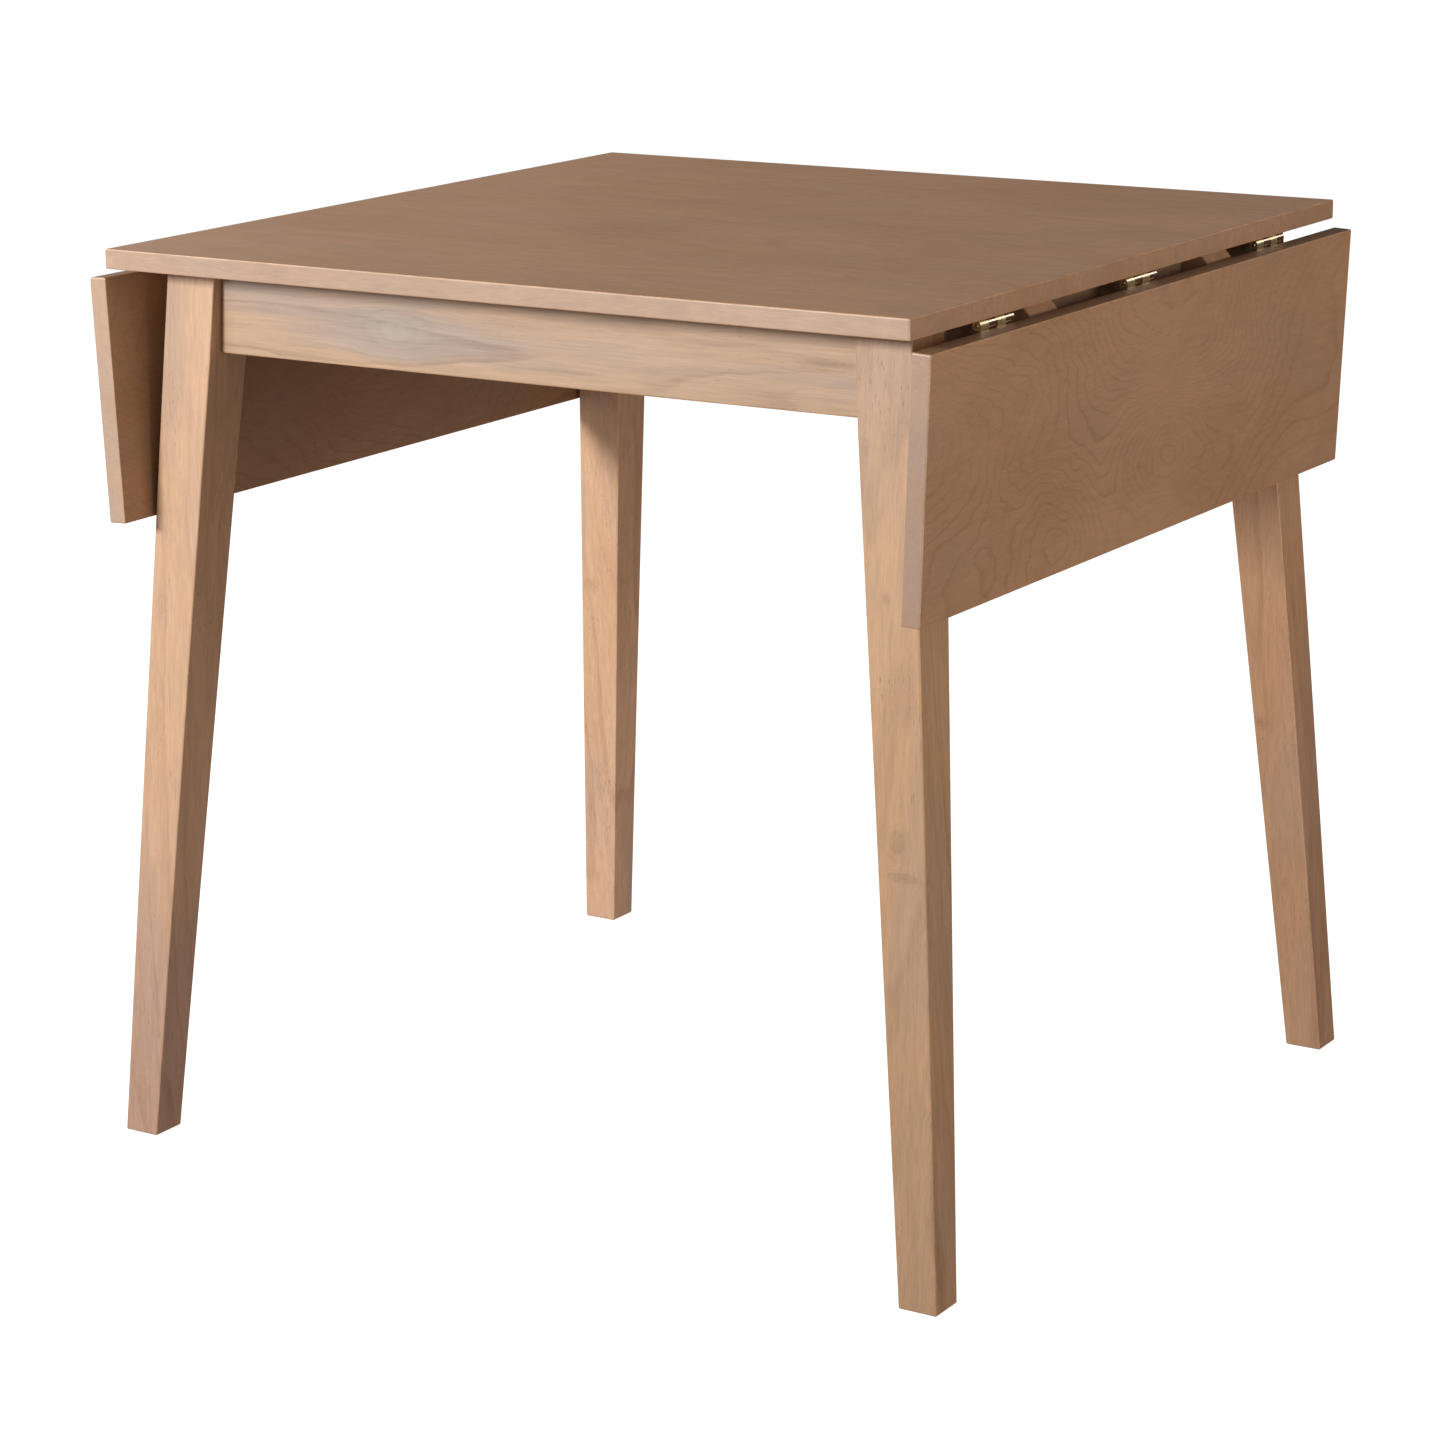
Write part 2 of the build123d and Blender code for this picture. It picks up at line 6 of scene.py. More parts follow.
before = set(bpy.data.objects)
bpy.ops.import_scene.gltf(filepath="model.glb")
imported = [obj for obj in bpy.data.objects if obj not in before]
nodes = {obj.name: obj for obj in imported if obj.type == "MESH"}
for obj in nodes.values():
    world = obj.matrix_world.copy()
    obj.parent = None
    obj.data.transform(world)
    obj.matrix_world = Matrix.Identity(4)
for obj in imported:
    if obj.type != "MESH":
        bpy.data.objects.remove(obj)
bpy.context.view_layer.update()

scene = bpy.context.scene

# --------------------------------------------------------------------- camera
yaw, pitch, roll = radians(-32.353), radians(14.78), radians(-0.611)
fwd = Vector((sin(yaw) * cos(pitch), cos(yaw) * cos(pitch), -sin(pitch)))
right = Vector((cos(yaw), -sin(yaw), 0.0))
up = right.cross(fwd)
cam_x = cos(roll) * right + sin(roll) * up
cam_y = -sin(roll) * right + cos(roll) * up
cam_data = bpy.data.cameras.new("camera")
cam_data.sensor_width = 36.0
cam_data.lens = 100.75
cam_data.clip_end = 200.0
camera = bpy.data.objects.new("camera", cam_data)
scene.collection.objects.link(camera)
at = Vector((1.7644, -2.8185, 1.2023))
camera.matrix_world = Matrix((
    (cam_x.x, cam_y.x, -fwd.x, at.x),
    (cam_x.y, cam_y.y, -fwd.y, at.y),
    (cam_x.z, cam_y.z, -fwd.z, at.z),
    (0, 0, 0, 1)))
scene.camera = camera
scene.view_settings.view_transform = "Standard"
scene.view_settings.look = "None"


# ------------------------------------------------------------ node shorthands
class Graph:
    """Short names for the nodes of one material."""

    def __init__(self, name):
        self.mat = bpy.data.materials.new(name)
        self.mat.use_nodes = True
        self.t = self.mat.node_tree
        self.bsdf = self.t.nodes["Principled BSDF"]

    def new(self, kind, **props):
        n = self.t.nodes.new(kind)
        for k, v in props.items():
            setattr(n, k, v)
        return n

    def put(self, socket, value):
        if isinstance(value, bpy.types.NodeSocket):
            self.t.links.new(value, socket)
        elif value is not None:
            socket.default_value = value

    def coords(self):
        return self.new("ShaderNodeTexCoord").outputs["Object"]

    def math(self, op, a, b=None, c=None, clamp=False):
        n = self.new("ShaderNodeMath", operation=op, use_clamp=clamp)
        self.put(n.inputs[0], a)
        self.put(n.inputs[1], b)
        self.put(n.inputs[2], c)
        return n.outputs[0]

    def vmath(self, op, a, b=None):
        n = self.new("ShaderNodeVectorMath", operation=op)
        self.put(n.inputs[0], a)
        self.put(n.inputs[1], b)
        return n.outputs["Value"] if op in ("LENGTH", "DOT_PRODUCT") else n.outputs["Vector"]

    def scaled(self, v, s, offset=(0, 0, 0)):
        n = self.new("ShaderNodeMapping")
        self.put(n.inputs["Vector"], v)
        n.inputs["Scale"].default_value = s
        n.inputs["Location"].default_value = offset
        return n.outputs["Vector"]

    def noise(self, v, scale, detail=4.0, rough=0.5, distort=0.0):
        n = self.new("ShaderNodeTexNoise")
        self.put(n.inputs["Vector"], v)
        n.inputs["Scale"].default_value = scale
        n.inputs["Detail"].default_value = detail
        n.inputs["Roughness"].default_value = rough
        n.inputs["Distortion"].default_value = distort
        return n.outputs["Fac"]

    def noise_vec(self, v, scale, detail=2.0):
        n = self.new("ShaderNodeTexNoise")
        self.put(n.inputs["Vector"], v)
        n.inputs["Scale"].default_value = scale
        n.inputs["Detail"].default_value = detail
        return self.vmath("SUBTRACT", n.outputs["Color"], (0.5, 0.5, 0.5))

    def range(self, x, a, b, lo=0.0, hi=1.0, smooth=False):
        n = self.new("ShaderNodeMapRange", clamp=True)
        n.interpolation_type = "SMOOTHSTEP" if smooth else "LINEAR"
        self.put(n.inputs["Value"], x)
        for i, v in zip((1, 2, 3, 4), (a, b, lo, hi)):
            self.put(n.inputs[i], v)
        return n.outputs["Result"]

    def mix(self, f, a, b, mode="MIX"):
        n = self.new("ShaderNodeMix", data_type="RGBA", blend_type=mode)
        self.put(n.inputs[0], f)
        self.put(n.inputs[6], a if isinstance(a, bpy.types.NodeSocket) else (*a, 1.0))
        self.put(n.inputs[7], b if isinstance(b, bpy.types.NodeSocket) else (*b, 1.0))
        return n.outputs[2]

    def arris(self):
        """1 on a rounded arris of a squared board, 0 on its faces."""
        s = self.new("ShaderNodeSeparateXYZ")
        self.put(s.inputs[0], self.new("ShaderNodeTexCoord").outputs["Normal"])
        x, y, z = (self.math("ABSOLUTE", o) for o in s.outputs)
        return self.range(self.math("MAXIMUM", self.math("MAXIMUM", x, y), z), 0.975, 0.87, smooth=True)

    def edge(self, radius):
        """1 on an arris, 0 on the flat."""
        b = self.new("ShaderNodeBevel", samples=6)
        b.inputs["Radius"].default_value = radius
        g = self.new("ShaderNodeNewGeometry")
        d = self.vmath("DOT_PRODUCT", b.outputs["Normal"], g.outputs["Normal"])
        return self.range(self.math("SUBTRACT", 1.0, d), 0.004, 0.09, smooth=True)


AXES = {"X": (0, 1, 2), "Y": (1, 0, 2), "Z": (2, 0, 1)}


def stretch(axis, along, across):
    """Scale that is 'along' on the grain axis and 'across' on the other two."""
    s = [across, across, across]
    s[AXES[axis][0]] = along
    return tuple(s)


def knot_fields(g, p, axis, knots):
    """Knots as (x, y, z, half width, half length, strength), in metres.
    Returns coordinates whose grain flows round them, and how much of a knot each point is."""
    dark = None
    ring = None
    for kx, ky, kz, rw, rl, strength in knots:
        d = g.vmath("SUBTRACT", p, (kx, ky, kz))
        inv = stretch(axis, 1.0 / rl, 1.0 / rw)
        e = g.vmath("MULTIPLY", d, inv)
        e = g.vmath("ADD", e, g.vmath("MULTIPLY", g.noise_vec(p, 70.0), (0.55, 0.55, 0.55)))
        r = g.vmath("LENGTH", e)
        # grain bows round the knot: sample nearer to its middle
        near = g.range(r, 0.2, 3.2, 1.0, 0.0, smooth=True)
        pull = g.math("MULTIPLY", near, -0.62 * strength)
        n = g.new("ShaderNodeVectorMath", operation="SCALE")
        g.put(n.inputs[0], g.vmath("MULTIPLY", d, stretch(axis, 0.15, 1.0)))
        g.put(n.inputs["Scale"], pull)
        p = g.vmath("ADD", p, n.outputs["Vector"])
        core = g.math("MULTIPLY", g.range(r, 0.15, 1.45, 1.0, 0.0, smooth=True), strength)
        wave = g.math("MULTIPLY", g.math("SINE", g.math("MULTIPLY", r, 11.0)), g.range(r, 0.6, 2.2, 0.32, 0.0))
        dark = core if dark is None else g.math("MAXIMUM", dark, core)
        ring = wave if ring is None else g.math("ADD", ring, wave)
    return p, dark, ring


def wood(name, axis, light, deep, grey, seed=(0, 0, 0), knots=(), figure=0.35, lines=12.0, line_scale=7.0,
         line_stretch=0.22, pores=0.5, streak=0.5, rough=0.46, coat=0.25, edge=0.35, knot_tint=(0.30, 0.235, 0.17),
         blotch=0.5, end_stain_and_sheen=None, slot_shade=None, flow=0.30, centres=(), band_share=0.75, wobble=0.010, jag=0.0,
         fibre_len=1.0, smudges=(), floor_shade=None):
    """Stained, lacquered wood.  light, deep and grey are the three stain colours it wanders between."""
    g = Graph(name)
    p0 = g.vmath("ADD", g.coords(), seed)
    moved = [(x + seed[0], y + seed[1], z + seed[2], a, b, c) for x, y, z, a, b, c in knots]
    p, dark, ring = knot_fields(g, p0, axis, moved)
    marks = [(x + seed[0], y + seed[1], z + seed[2], a, b, c) for x, y, z, a, b, c in smudges]
    p, smudge, ring2 = knot_fields(g, p, axis, marks)
    # slow wander of the stain
    slow = g.noise(g.scaled(p, stretch(axis, flow, 1.0)), 9.0, 3.0, 0.55)
    slow2 = g.noise(g.scaled(p, stretch(axis, flow * 0.75, 1.0), (3.1, 1.7, 5.3)), 16.0, 3.0, 0.5)
    # growth rings cut by the face: contour lines of a long, slow field
    bent = g.vmath("ADD", g.scaled(p, stretch(axis, line_stretch, 1.0), (7.7, 2.9, 4.1)),
                   g.vmath("MULTIPLY", g.noise_vec(g.scaled(p, stretch(axis, 0.35, 1.0)), 38.0), (wobble, wobble, wobble)))
    if jag:
        bent = g.vmath("ADD", bent, g.vmath("MULTIPLY", g.noise_vec(p, 170.0), (jag, jag, jag)))
    field = g.noise(bent, line_scale, 1.6, 0.42)
    for cx, cy, cz, half_l, half_w, height in centres:
        # a hill in the field, which the contour lines go round
        d = g.vmath("SUBTRACT", p, (cx + seed[0], cy + seed[1], cz + seed[2]))
        d = g.vmath("ADD", d, g.vmath("MULTIPLY", g.noise_vec(p, 16.0), (0.03, 0.03, 0.03)))
        r = g.vmath("LENGTH", g.vmath("MULTIPLY", d, stretch(axis, 1.0 / half_l, 1.0 / half_w)))
        field = g.math("ADD", field, g.range(r, 0.0, 1.0, height, 0.0, smooth=True))
    saw = g.math("FRACT", g.math("MULTIPLY", field, lines))
    soft = g.range(saw, 0.0, 0.86, 0.0, 1.0, smooth=True)
    drop = g.range(saw, 0.90, 1.0, 1.0, 0.0, smooth=True)
    band = g.math("MULTIPLY", soft, drop)
    thin = g.math("MULTIPLY", g.range(saw, 0.70, 0.90, 0.0, 1.0, smooth=True), drop)
    # the figure comes and goes, and doesn't show on the narrow edges of a board
    shows = g.range(g.noise(g.scaled(p, stretch(axis, 0.5, 1.0), (2.2, 6.1, 0.7)), 11.0, 2.0), 0.36, 0.62, 0.30, 1.0)
    if end_stain_and_sheen:
        face = g.new("ShaderNodeSeparateXYZ")
        g.put(face.inputs[0], g.new("ShaderNodeTexCoord").outputs["Normal"])
        end_face = g.range(g.math("ABSOLUTE", face.outputs[1]), 0.45, 0.85)
        # faces pointing up, which get the painted slot shade
        slot_shade_face = g.range(face.outputs[2], 0.55, 0.90)
        shows = g.math("MULTIPLY", shows, g.math("SUBTRACT", 1.0, g.math("MULTIPLY", end_face, 0.75)))
    band = g.math("MULTIPLY", band, shows)
    thin = g.math("MULTIPLY", thin, shows)
    # long fibres and short open pores
    fibre = g.noise(g.scaled(p, stretch(axis, 0.035 * fibre_len, 1.0)), 720.0, 5.0, 0.62)
    fibre2 = g.noise(g.scaled(p, stretch(axis, 0.06 * fibre_len, 1.0), (1.3, 8.1, 2.2)), 190.0, 4.0, 0.6)
    pore_n = g.noise(g.scaled(p, stretch(axis, 0.085 * fibre_len, 1.0), (4.4, 0.3, 9.9)), 1250.0, 1.0, 0.5)
    pore_gate = g.range(g.noise(g.scaled(p, stretch(axis, 0.4, 1.0)), 45.0, 2.0), 0.42, 0.62)
    pore = g.math("MULTIPLY", g.range(pore_n, 0.655, 0.73, smooth=True), pore_gate)

    col = g.mix(g.range(slow, 0.34, 0.68, smooth=True), light, deep)
    col = g.mix(g.math("MULTIPLY", g.range(slow2, 0.47, 0.66, smooth=True), blotch), col, grey)
    darker = g.mix(1.0, col, (0.80, 0.765, 0.73), "MULTIPLY")
    col = g.mix(g.math("MULTIPLY", band, figure * band_share), col, darker)
    line_c = g.mix(1.0, col, (0.70, 0.64, 0.585), "MULTIPLY")
    col = g.mix(g.math("MULTIPLY", thin, figure), col, line_c)
    fib = g.range(fibre, 0.30, 0.72, 1.0 - 0.13 * streak, 1.0 + 0.10 * streak)
    fib2 = g.range(fibre2, 0.28, 0.74, 1.0 - 0.12 * streak, 1.0 + 0.09 * streak)
    both = g.math("MULTIPLY", fib, fib2)
    comb = g.new("ShaderNodeCombineColor")
    for i in range(3):
        g.put(comb.inputs[i], both)
    col = g.mix(1.0, col, comb.outputs[0], "MULTIPLY")
    pore_c = g.mix(1.0, col, (0.56, 0.50, 0.45), "MULTIPLY")
    col = g.mix(g.math("MULTIPLY", pore, pores), col, pore_c)
    if knots:
        ringed = g.mix(1.0, col, (0.72, 0.66, 0.60), "MULTIPLY")
        col = g.mix(g.range(ring, 0.02, 0.4, 0.0, 0.32), col, ringed)
        mottle = g.range(g.noise(p0, 120.0, 3.0), 0.35, 0.65, 0.55, 1.0)
        col = g.mix(g.math("MULTIPLY", g.math("MULTIPLY", dark, mottle), 0.75), col, knot_tint)
    if smudges:
        dusky = g.mix(1.0, col, (0.60, 0.56, 0.54), "MULTIPLY")
        col = g.mix(g.range(ring2, 0.02, 0.5, 0.0, 0.35), col, dusky)
        patchy = g.range(g.noise(p0, 150.0, 3.0), 0.35, 0.65, 0.45, 1.0)
        col = g.mix(g.math("MULTIPLY", smudge, patchy), col, dusky)
    if floor_shade:
        # painted shade: darker towards the floor, standing in for the light falling off near the ground
        height = g.new("ShaderNodeSeparateXYZ")
        g.put(height.inputs[0], g.coords())
        shaded_low = g.mix(1.0, col, floor_shade, "MULTIPLY")
        col = g.mix(g.range(height.outputs[2], 0.0, 0.42, 1.0, 0.0, smooth=True), col, shaded_low)
    if end_stain_and_sheen:
        # the board's front and back edges are tinted paler and bluer: partly their own stain, partly painted sheen
        # standing in for the front-left light on them
        end_sheen_col = g.mix(1.0, col, end_stain_and_sheen, "MULTIPLY")
        col = g.mix(end_face, col, end_sheen_col)
    if slot_shade:
        # painted shade: the leaf's upward-facing hinge edge is darkened, standing in for the shade it sits in under
        # the top's edge
        col = g.mix(slot_shade_face, col, g.mix(1.0, col, slot_shade, "MULTIPLY"))
    # painted highlight and wear: the rounded arrises are made much paler, standing in for the gloss catching the light
    # along them as well as rubbed stain; broken up with noise, its strength set by edge
    wear_and_highlight = g.math("MULTIPLY", g.arris(), g.range(g.noise(p0, 45.0, 3.0), 0.30, 0.70, 0.35, 1.0))
    paler_wear_and_highlight = g.mix(1.0, col, (1.75, 1.78, 1.80), "MULTIPLY")
    col = g.mix(g.math("MULTIPLY", wear_and_highlight, edge), col, paler_wear_and_highlight)
    g.put(g.bsdf.inputs["Base Color"], col)
    rgh = g.range(fibre2, 0.25, 0.75, rough + 0.06, rough - 0.05)
    rgh = g.math("ADD", rgh, g.math("MULTIPLY", pore, 0.12))
    g.put(g.bsdf.inputs["Roughness"], rgh)
    g.bsdf.inputs["Coat Weight"].default_value = coat
    g.bsdf.inputs["Coat Roughness"].default_value = 0.30
    g.bsdf.inputs["Coat IOR"].default_value = 1.45
    h = g.math("ADD", g.math("MULTIPLY", fibre, 0.5), g.math("MULTIPLY", fibre2, 0.35))
    h = g.math("SUBTRACT", h, g.math("MULTIPLY", pore, 0.9 * pores))
    h = g.math("SUBTRACT", h, g.math("MULTIPLY", thin, 0.3 * figure))
    bump = g.new("ShaderNodeBump")
    bump.inputs["Strength"].default_value = 0.35
    bump.inputs["Distance"].default_value = 0.00016
    g.put(bump.inputs["Height"], h)
    g.put(g.bsdf.inputs["Normal"], bump.outputs["Normal"])
    return g.mat


def metal(name, colour, second, rough, brushed_axis=None, bump_d=0.00004, scale=240.0):
    g = Graph(name)
    p = g.coords()
    q = g.scaled(p, stretch(brushed_axis, 0.05, 1.0)) if brushed_axis else p
    n = g.noise(q, scale, 4.0, 0.6)
    blot = g.noise(p, 90.0, 3.0, 0.55)
    col = g.mix(g.range(blot, 0.35, 0.68, smooth=True), colour, second)
    edge = g.edge(0.0008)
    col = g.mix(g.math("MULTIPLY", edge, 0.35), col, tuple(min(1.0, c * 1.15) for c in colour))
    g.put(g.bsdf.inputs["Base Color"], col)
    g.bsdf.inputs["Metallic"].default_value = 1.0
    g.put(g.bsdf.inputs["Roughness"], g.range(n, 0.3, 0.7, rough - 0.04, rough + 0.08))
    bump = g.new("ShaderNodeBump")
    bump.inputs["Strength"].default_value = 0.25
    bump.inputs["Distance"].default_value = bump_d
    g.put(bump.inputs["Height"], n)
    g.put(g.bsdf.inputs["Normal"], bump.outputs["Normal"])
    return g.mat


# ------------------------------------------------------------------ materials
TOP = dict(light=(0.396, 0.212, 0.114), deep=(0.366, 0.190, 0.096), grey=(0.356, 0.204, 0.120))
LEAF = dict(light=(0.396, 0.208, 0.103), deep=(0.350, 0.180, 0.084), grey=(0.345, 0.196, 0.110))
APRON = dict(light=(0.389, 0.240, 0.141), deep=(0.370, 0.219, 0.118), grey=(0.290, 0.212, 0.170))
LEG = dict(light=(0.530, 0.275, 0.118), deep=(0.480, 0.240, 0.098), grey=(0.440, 0.240, 0.118))
# painted light: each leg gets its own tint, the left legs paler and bluer and the right ones darker, standing in for
# the front-left light and its sheen
LEG_LIGHT_TINT = dict(front_right=(0.78, 0.83, 0.93), front_left=(0.88, 0.985, 1.29), back_left=(1.13, 1.27, 1.68),
                back_right=(0.81, 0.835, 0.99))
# painted shade at the foot of each leg
FLOOR_SHADE = dict(front_right=(0.86, 0.88, 1.0), front_left=(0.82, 0.79, 0.87), back_left=(0.94, 0.95, 1.03),
            back_right=(0.89, 0.90, 0.96))


def tinted(palette, tint):
    return {k: tuple(c * m for c, m in zip(v, tint)) for k, v in palette.items()}


mats = {}
mats["table_top"] = wood("wood_top", "X", **TOP, seed=(0.3, 1.1, 0.0), figure=0.16, lines=22.0, line_scale=4.2,
                         line_stretch=0.28, pores=0.75, streak=0.85, rough=0.46, coat=0.15, edge=0.85, blotch=0.45,
                         end_stain_and_sheen=(0.92, 1.04, 1.22), flow=0.55, fibre_len=3.2)
# hills that the leaves' rings close round: centre, half length, half width, height
LOOPS = dict(right=[(0.3807, 0.040, 0.601, 0.14, 0.075, 0.16), (0.379, -0.160, 0.562, 0.12, 0.075, 0.13),
                    (0.3846, 0.055, 0.691, 0.05, 0.022, 0.03)],
             left=[(-0.379, 0.110, 0.590, 0.15, 0.070, 0.14), (-0.382, -0.230, 0.640, 0.10, 0.060, 0.10)])
# painted sheen on the leaves' ends: the left leaf's ends paler and bluer than the right's, as the front-left light
# falls on them
END_STAIN_AND_SHEEN = dict(right=(0.80, 0.89, 1.08), left=(0.93, 1.08, 1.34))
for side, s in (("left", -1), ("right", 1)):
    mats[f"leaf_{side}"] = wood(f"wood_leaf_{side}", "Y", **LEAF, seed=(0.0, 0.0 if s > 0 else 2.7, 0.0), figure=0.44,
                                lines=68.0, line_scale=3.6, line_stretch=0.50, pores=0.55, streak=0.60, rough=0.44,
                                coat=0.30, edge=0.85, blotch=0.60, end_stain_and_sheen=END_STAIN_AND_SHEEN[side], slot_shade=(0.62, 0.60, 0.60), flow=0.45,
                                centres=LOOPS[side], band_share=0.12, wobble=0.017, jag=0.0013, fibre_len=2.6)
leg_knots = {
    "front_right": [(0.346, -0.341, 0.357, 0.0085, 0.011, 0.60), (0.352, -0.343, 0.331, 0.016, 0.0045, 0.55),
                    (0.309, -0.323, 0.645, 0.004, 0.009, 0.50), (0.330, -0.330, 0.537, 0.0035, 0.005, 0.60)],
    "front_left": [(-0.352, -0.335, 0.455, 0.005, 0.010, 0.35)],
    "back_left": [(-0.358, 0.301, 0.345, 0.008, 0.006, 0.50), (-0.322, 0.310, 0.350, 0.010, 0.008, 0.40)],
    "back_right": [(0.337, 0.305, 0.300, 0.014, 0.006, 0.45)],
}
for i, (key, kn) in enumerate(leg_knots.items()):
    mats[f"leg_{key}"] = wood(f"wood_leg_{key}", "Z", **tinted(LEG, LEG_LIGHT_TINT[key]), seed=(0.37 * i, 0.91 * i, 1.3 * i),
                              smudges=kn, figure=0.36, lines=9.0, line_scale=11.0, line_stretch=0.10, pores=0.85,
                              streak=0.95, rough=0.48, coat=0.12, edge=0.45, blotch=0.7, floor_shade=FLOOR_SHADE[key])
for i, key in enumerate(("front", "back", "left", "right")):
    front = key == "front"      # a pale greenish knot, and dark streaks near the right end
    mats[f"apron_{key}"] = wood(f"wood_apron_{key}", "X" if i < 2 else "Y", **APRON, seed=(0.5 * i, 0.8 * i, 0.33 * i),
                                knots=[(-0.124, -0.308, 0.696, 0.0125, 0.026, 0.72)] if front else [],
                                smudges=[(0.279, -0.308, 0.7015, 0.0022, 0.030, 0.75),
                                         (0.262, -0.308, 0.6965, 0.0014, 0.026, 0.60),
                                         (0.035, -0.308, 0.676, 0.0016, 0.040, 0.40)] if front else [],
                                figure=0.55, lines=13.0, line_scale=13.0, line_stretch=0.085, pores=0.6,
                                streak=1.0, rough=0.46, coat=0.15, edge=0.45, knot_tint=(0.295, 0.262, 0.180),
                                blotch=0.85, flow=0.13, band_share=0.5)
bar = wood("wood_bar", "X", light=(0.46, 0.25, 0.135), deep=(0.41, 0.215, 0.11), grey=(0.38, 0.22, 0.12), figure=0.3,
           lines=10.0, line_scale=14.0, line_stretch=0.12, pores=0.5, streak=0.7, rough=0.5, coat=0.0)
dowel = wood("wood_dowel", "Z", light=(0.56, 0.42, 0.28), deep=(0.50, 0.36, 0.235), grey=(0.47, 0.36, 0.26),
             figure=0.2, pores=0.4, rough=0.6, coat=0.0)
hidden_x = wood("wood_hidden", "Y", light=(0.52, 0.39, 0.27), deep=(0.46, 0.335, 0.225), grey=(0.43, 0.34, 0.25),
                figure=0.45, lines=10.0, line_scale=13.0, line_stretch=0.13, pores=0.5, rough=0.6, coat=0.0)
brass = metal("polished_brass", (0.97, 0.82, 0.48), (0.93, 0.74, 0.40), 0.33)
# painted shade: a darker, redder copy of the brass for the top's hinge plates, standing in for their knuckles
# reflecting the dark slot
brass_shaded_copy = metal("brass_painted_shade", (0.60, 0.42, 0.31), (0.52, 0.35, 0.24), 0.15)
brass_screw = metal("brass_screws", (0.82, 0.63, 0.33), (0.72, 0.53, 0.26), 0.27)
zinc = metal("zinc_plated_steel", (0.66, 0.66, 0.64), (0.56, 0.57, 0.57), 0.33)


def material_for(n):
    if n in mats:
        return mats[n]
    if n.startswith("support_bar"):
        return bar
    if n.startswith("bar_stop"):
        return dowel
    if n.startswith("hinge_screws"):
        return brass_screw
    if n.startswith("hinge_leaf_plate"):
        return brass
    if n.startswith("hinge_"):
        return brass_shaded_copy
    if n.startswith("guide_rail") or n == "centre_batten" or (n.startswith("corner_block") and "screws" not in n):
        return hidden_x
    return zinc


for n, o in nodes.items():
    m = material_for(n)
    if not o.material_slots:
        o.data.materials.append(m)
    for sl in o.material_slots:
        sl.material = m

# ---------------------------------------------------------- floor and backdrop
bpy.ops.mesh.primitive_plane_add(size=120.0, location=(0, 0, 0))
floor = bpy.context.object
floor.name = "floor"
g = Graph("pale_floor")
g.bsdf.inputs["Base Color"].default_value = (0.25, 0.25, 0.247, 1.0)
g.bsdf.inputs["Roughness"].default_value = 0.9
g.bsdf.inputs["Specular IOR Level"].default_value = 0.0
g.bsdf.inputs["Emission Color"].default_value = (1.0, 1.0, 0.995, 1.0)
g.bsdf.inputs["Emission Strength"].default_value = 0.93
floor.data.materials.append(g.mat)
# the floor's own bounce is part of the studio light below, so it is only seen, and only catches shadows
floor.visible_diffuse = False
floor.visible_glossy = False
floor.visible_shadow = False

# --------------------------------------------------------------------- lights
world = bpy.data.worlds.new("studio")
scene.world = world
world.use_nodes = True
wt = world.node_tree
bg = wt.nodes["Background"]
bg.inputs["Color"].default_value = (1.0, 1.0, 1.0, 1.0)
path = wt.nodes.new("ShaderNodeLightPath")


def wmath(op, a, b, c=None):
    n = wt.nodes.new("ShaderNodeMath")
    n.operation = op
    for s, v in zip(n.inputs, (a, b, c)):
        if isinstance(v, bpy.types.NodeSocket):
            wt.links.new(v, s)
        elif v is not None:
            s.default_value = v
    return n.outputs[0]


WORLD = dict(up=0.34, down=0.40, glossy_up=0.12, glossy_down=0.045)
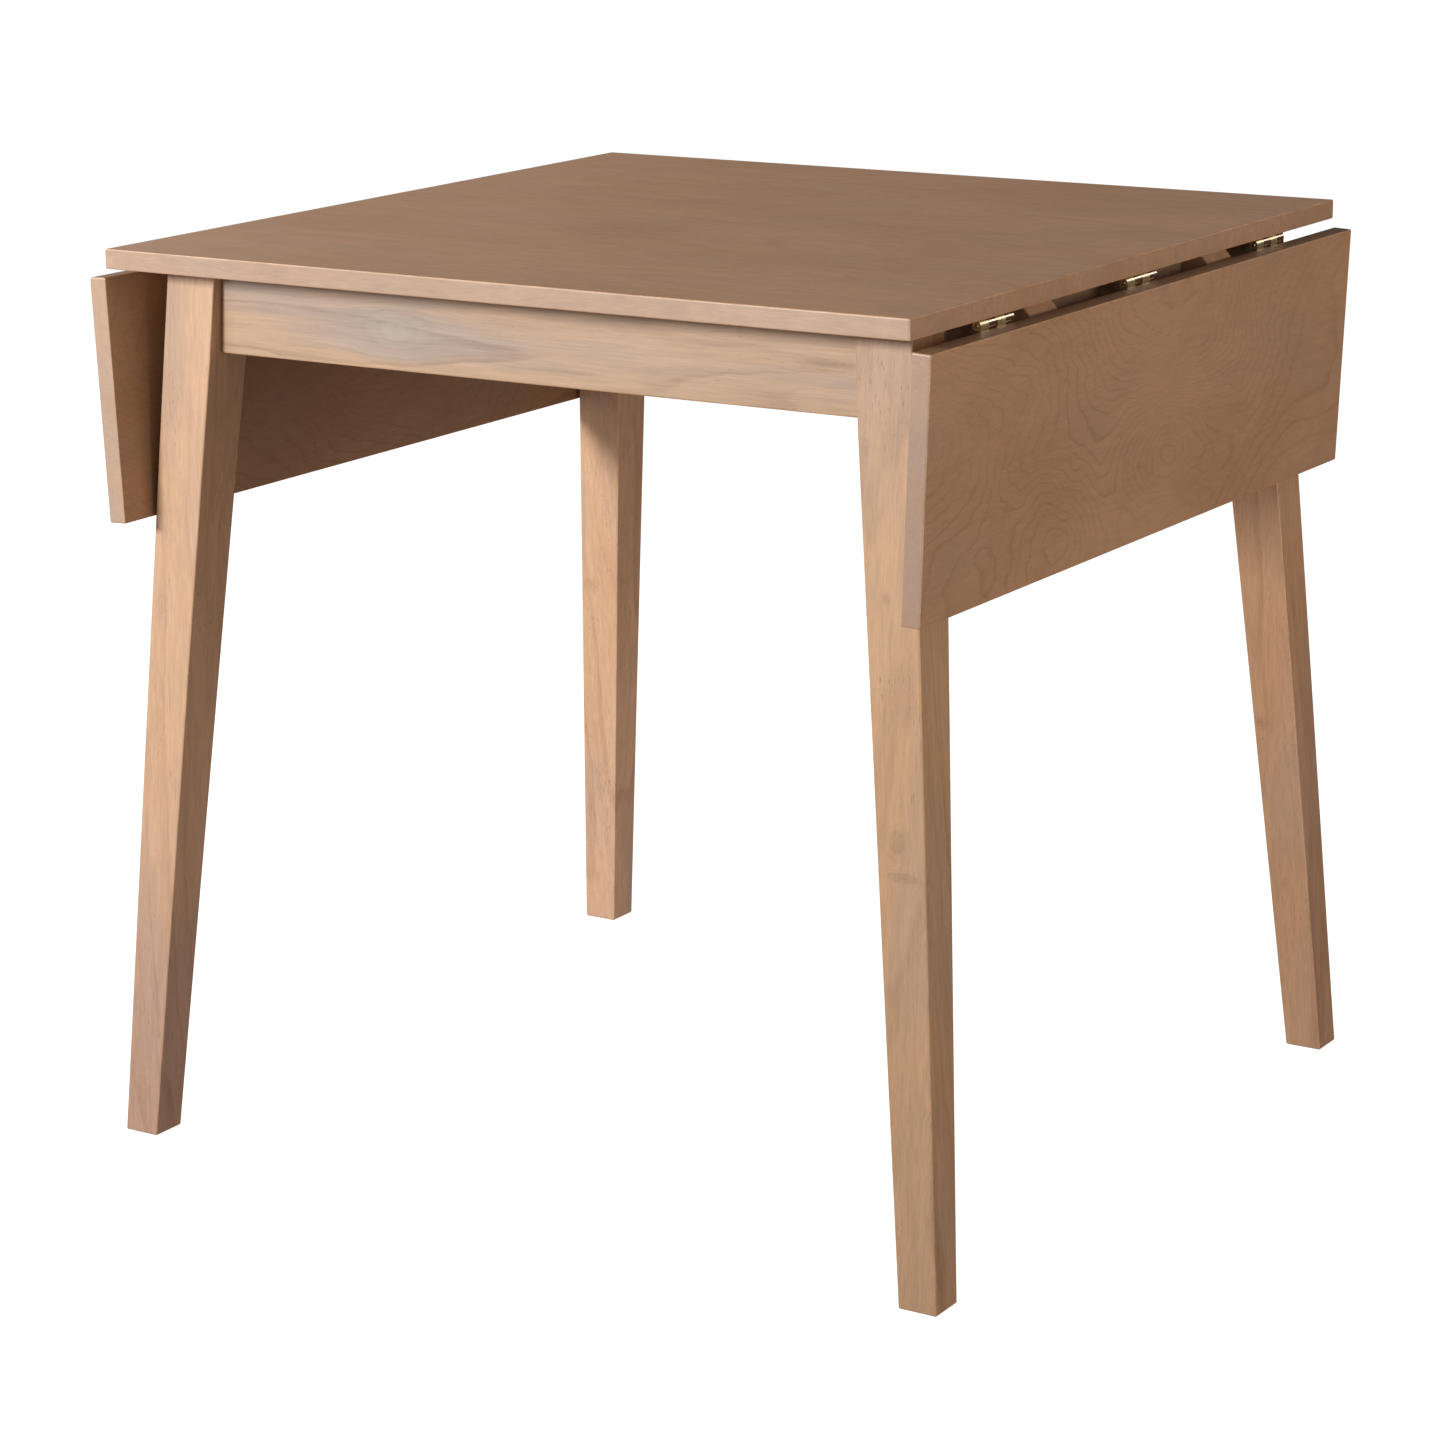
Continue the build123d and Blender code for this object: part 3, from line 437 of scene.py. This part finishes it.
# white where the camera sees it, dimmer as a light, dimmer still in reflections
world.cycles.sampling_method = "NONE"
direction = wt.nodes.new("ShaderNodeTexCoord").outputs["Generated"]
split = wt.nodes.new("ShaderNodeSeparateXYZ")
wt.links.new(direction, split.inputs[0])
blend = wmath("MULTIPLY_ADD", split.outputs["Z"], 2.0, 0.5)
wt.nodes[-1].use_clamp = True
ambient = wmath("MULTIPLY_ADD", blend, WORLD["up"] - WORLD["down"], WORLD["down"])
mirrored = wmath("MULTIPLY_ADD", blend, WORLD["glossy_up"] - WORLD["glossy_down"], WORLD["glossy_down"])
glossy = path.outputs["Is Glossy Ray"]
dim = wmath("ADD", wmath("MULTIPLY", ambient, wmath("SUBTRACT", 1.0, glossy)), wmath("MULTIPLY", glossy, mirrored))
seen = path.outputs["Is Camera Ray"]
strength = wmath("ADD", wmath("MULTIPLY", dim, wmath("SUBTRACT", 1.0, seen)), seen)
wt.links.new(strength, bg.inputs["Strength"])
# what comes up off the floor is a little warmer than what comes down
tone = wt.nodes.new("ShaderNodeMix")
tone.data_type = "RGBA"
wt.links.new(wmath("MAXIMUM", blend, seen), tone.inputs[0])
tone.inputs[6].default_value = (1.08, 0.93, 0.88, 1.0)
tone.inputs[7].default_value = (1.0, 1.0, 1.0, 1.0)
wt.links.new(tone.outputs[2], bg.inputs["Color"])


def area(name, pos, target, w, h, radiance, colour=(1, 1, 1)):
    """A soft box, by the radiance of its face."""
    d = bpy.data.lights.new(name, "AREA")
    d.shape = "RECTANGLE"
    d.size, d.size_y = w, h
    d.energy = radiance * w * h * 3.14159
    d.color = colour
    o = bpy.data.objects.new(name, d)
    scene.collection.objects.link(o)
    o.location = pos
    o.rotation_mode = "QUATERNION"
    o.rotation_quaternion = (Vector(target) - Vector(pos)).to_track_quat("-Z", "Y")
    return o


LIGHTS = dict(key=140.0, box=1.38, overhead=7.8, fill=4.9)
area("key", (-1.25, -3.4, 1.62), (0.0, -0.1, 0.5), 0.75, 0.5, LIGHTS["key"], (0.93, 1.0, 1.05))
area("side_box", (-2.4, -2.5, 0.75), (0.0, 0.0, 0.5), 2.2, 2.0, LIGHTS["box"])
area("high_left", (-2.6, 0.3, 2.3), (0.0, 0.0, 0.6), 1.6, 1.6, LIGHTS["overhead"])
area("right_fill", (3.2, -0.2, 0.9), (0.0, 0.0, 0.5), 1.6, 1.6, LIGHTS["fill"])
# a card that only the brass sees, so that the small hinges sparkle in their slot
card = area("hinge_card", (1.5, 2.5, 1.9), (0.37, 0.0, 0.73), 1.7, 0.7, 3.0, (1.0, 0.93, 0.97))
brassy = bpy.data.collections.new("brassy")
for n, o in nodes.items():
    if n.startswith("hinge_"):
        brassy.objects.link(o)
card.light_linking.receiver_collection = brassy
